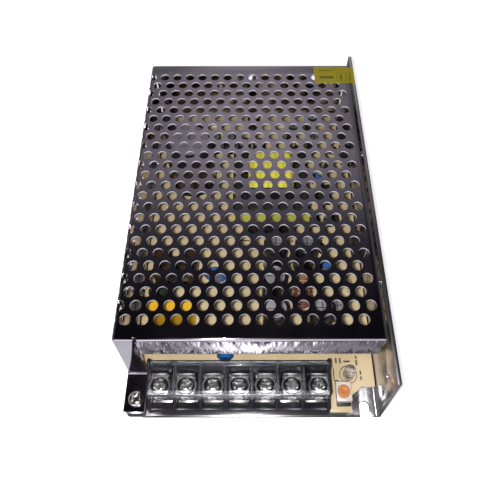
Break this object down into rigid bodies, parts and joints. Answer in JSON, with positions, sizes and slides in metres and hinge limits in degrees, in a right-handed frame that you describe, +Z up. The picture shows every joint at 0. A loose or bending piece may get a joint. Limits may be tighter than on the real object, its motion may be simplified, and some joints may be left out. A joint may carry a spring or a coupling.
{
  "type": "mesh case switching power supply",
  "caption": "Switching power supply in a folded metal case with a perforated cover, screw terminals under a clear hinged flap, an output trimmer and an indicator lamp.",
  "frame": {"origin": "centre of the bounding box on the underside of the base", "axes": "+Z up, away from the mounting face; the terminals are at -Y and the right wall is at +X"},
  "size_m": [0.098, 0.157, 0.042],
  "materials": {
    "chassis_metal": "bright plated sheet, folded, fine rolling lines",
    "cover_metal": "bright plated sheet, folded and perforated",
    "screw_steel": "nickel plated screws",
    "post_brass": "plain turned brass",
    "board_laminate": "tan paper laminate",
    "film_sheet": "dark insulating film",
    "block_plastic": "black moulded plastic",
    "terminal_metal": "tinned and nickel plated metal",
    "clear_plastic": "clear moulded plastic",
    "dark_plastic": "dark moulded plastic",
    "white_plastic": "white moulded plastic",
    "orange_plastic": "orange moulded plastic",
    "lamp_lens": "milky clear resin",
    "fuse_glass_tube": "clear glass tube",
    "thermistor_coat": "dark dipped coating",
    "film_coat": "yellow case, satin",
    "ferrite": "ground dark ferrite",
    "coil_tape": "taped dark brown coil",
    "disc_coat": "blue dipped coating",
    "package_plastic": "black moulded package",
    "capacitor_sleeve": "dark shrink sleeve over an aluminium can",
    "core_tape_green": "yellow green tape",
    "winding_tape": "yellow tape",
    "pad_rubber": "grey thermal pad",
    "coil_enamel": "dark enamelled winding",
    "resistor_coat": "beige lacquer"
  },
  "bodies": {
    "case": {"chassis": "chassis_metal", "mesh_cover": "cover_metal", "foot_screw": "screw_steel", "cover_screws": "screw_steel", "flange_screws": "screw_steel", "board_screws": "screw_steel", "package_screws": "screw_steel", "board_standoffs": "post_brass", "circuit_board": "board_laminate", "insulation_sheet": "film_sheet", "terminal_block_body": "block_plastic", "terminal_contacts": "terminal_metal", "trimmer_base": "dark_plastic", "trimmer_frame": "white_plastic", "indicator_lamp": "lamp_lens", "fuse_glass": "fuse_glass_tube", "fuse_caps": "terminal_metal", "fuse_clips": "terminal_metal", "inrush_thermistor": "thermistor_coat", "film_capacitor": "film_coat", "mains_choke_frame": "dark_plastic", "mains_choke_core": "ferrite", "mains_choke_coils": "coil_tape", "disc_capacitors": "disc_coat", "bridge_rectifier": "package_plastic", "reservoir_capacitor": "capacitor_sleeve", "transformer_core": "ferrite", "transformer_core_tape": "core_tape_green", "transformer_bobbin": "dark_plastic", "transformer_winding": "winding_tape", "transformer_pins": "terminal_metal", "switching_transistors": "package_plastic", "output_rectifier": "package_plastic", "package_pads": "pad_rubber", "output_inductor": "coil_enamel", "output_capacitors": "capacitor_sleeve", "control_chip": "package_plastic", "optocouplers": "package_plastic", "small_capacitors": "capacitor_sleeve", "resistors": "resistor_coat", "diodes": "package_plastic", "wire_links": "terminal_metal"},
    "terminal_cover": {"terminal_cover": "clear_plastic"},
    "trimmer_rotor": {"trimmer_rotor": "orange_plastic"},
    "clamp_1": {"clamp_plate_1": "terminal_metal"},
    "screw_1": {"terminal_screw_1": "terminal_metal"},
    "clamp_2": {"clamp_plate_2": "terminal_metal"},
    "screw_2": {"terminal_screw_2": "terminal_metal"},
    "clamp_3": {"clamp_plate_3": "terminal_metal"},
    "screw_3": {"terminal_screw_3": "terminal_metal"},
    "clamp_4": {"clamp_plate_4": "terminal_metal"},
    "screw_4": {"terminal_screw_4": "terminal_metal"},
    "clamp_5": {"clamp_plate_5": "terminal_metal"},
    "screw_5": {"terminal_screw_5": "terminal_metal"},
    "clamp_6": {"clamp_plate_6": "terminal_metal"},
    "screw_6": {"terminal_screw_6": "terminal_metal"},
    "clamp_7": {"clamp_plate_7": "terminal_metal"},
    "screw_7": {"terminal_screw_7": "terminal_metal"}
  },
  "joints": [
    {"name": "terminal_cover_hinge", "type": "hinge", "parent": "case", "child": "terminal_cover", "pos_m": [-0.00535, -0.06425, 0.0192], "axis": [-1, 0, 0], "range_deg": [0, 80]},
    {"name": "trimmer_turn", "type": "hinge", "parent": "case", "child": "trimmer_rotor", "pos_m": [0.0342, -0.0718, 0.011], "axis": [0, 0, 1], "range_deg": [-130, 130]},
    {"name": "clamp_1_lift", "type": "slide", "parent": "case", "child": "clamp_1", "axis": [0, 0, 1], "range_m": [0, 0.002]},
    {"name": "screw_1_turn", "type": "hinge", "parent": "clamp_1", "child": "screw_1", "pos_m": [-0.03385, -0.0699, 0.0106], "axis": [0, 0, 1], "range_deg": [0, 1200]},
    {"name": "clamp_2_lift", "type": "slide", "parent": "case", "child": "clamp_2", "axis": [0, 0, 1], "range_m": [0, 0.002]},
    {"name": "screw_2_turn", "type": "hinge", "parent": "clamp_2", "child": "screw_2", "pos_m": [-0.02435, -0.0699, 0.0106], "axis": [0, 0, 1], "range_deg": [0, 1200]},
    {"name": "clamp_3_lift", "type": "slide", "parent": "case", "child": "clamp_3", "axis": [0, 0, 1], "range_m": [0, 0.002]},
    {"name": "screw_3_turn", "type": "hinge", "parent": "clamp_3", "child": "screw_3", "pos_m": [-0.01485, -0.0699, 0.0106], "axis": [0, 0, 1], "range_deg": [0, 1200]},
    {"name": "clamp_4_lift", "type": "slide", "parent": "case", "child": "clamp_4", "axis": [0, 0, 1], "range_m": [0, 0.002]},
    {"name": "screw_4_turn", "type": "hinge", "parent": "clamp_4", "child": "screw_4", "pos_m": [-0.00535, -0.0699, 0.0106], "axis": [0, 0, 1], "range_deg": [0, 1200]},
    {"name": "clamp_5_lift", "type": "slide", "parent": "case", "child": "clamp_5", "axis": [0, 0, 1], "range_m": [0, 0.002]},
    {"name": "screw_5_turn", "type": "hinge", "parent": "clamp_5", "child": "screw_5", "pos_m": [0.00415, -0.0699, 0.0106], "axis": [0, 0, 1], "range_deg": [0, 1200]},
    {"name": "clamp_6_lift", "type": "slide", "parent": "case", "child": "clamp_6", "axis": [0, 0, 1], "range_m": [0, 0.002]},
    {"name": "screw_6_turn", "type": "hinge", "parent": "clamp_6", "child": "screw_6", "pos_m": [0.01365, -0.0699, 0.0106], "axis": [0, 0, 1], "range_deg": [0, 1200]},
    {"name": "clamp_7_lift", "type": "slide", "parent": "case", "child": "clamp_7", "axis": [0, 0, 1], "range_m": [0, 0.002]},
    {"name": "screw_7_turn", "type": "hinge", "parent": "clamp_7", "child": "screw_7", "pos_m": [0.02315, -0.0699, 0.0106], "axis": [0, 0, 1], "range_deg": [0, 1200]}
  ],
  "couplings": [
    {"joint": "screw_1_turn", "follows": "clamp_1_lift", "rad_per_m": 10472},
    {"joint": "screw_2_turn", "follows": "clamp_2_lift", "rad_per_m": 10472},
    {"joint": "screw_3_turn", "follows": "clamp_3_lift", "rad_per_m": 10472},
    {"joint": "screw_4_turn", "follows": "clamp_4_lift", "rad_per_m": 10472},
    {"joint": "screw_5_turn", "follows": "clamp_5_lift", "rad_per_m": 10472},
    {"joint": "screw_6_turn", "follows": "clamp_6_lift", "rad_per_m": 10472},
    {"joint": "screw_7_turn", "follows": "clamp_7_lift", "rad_per_m": 10472}
  ]
}
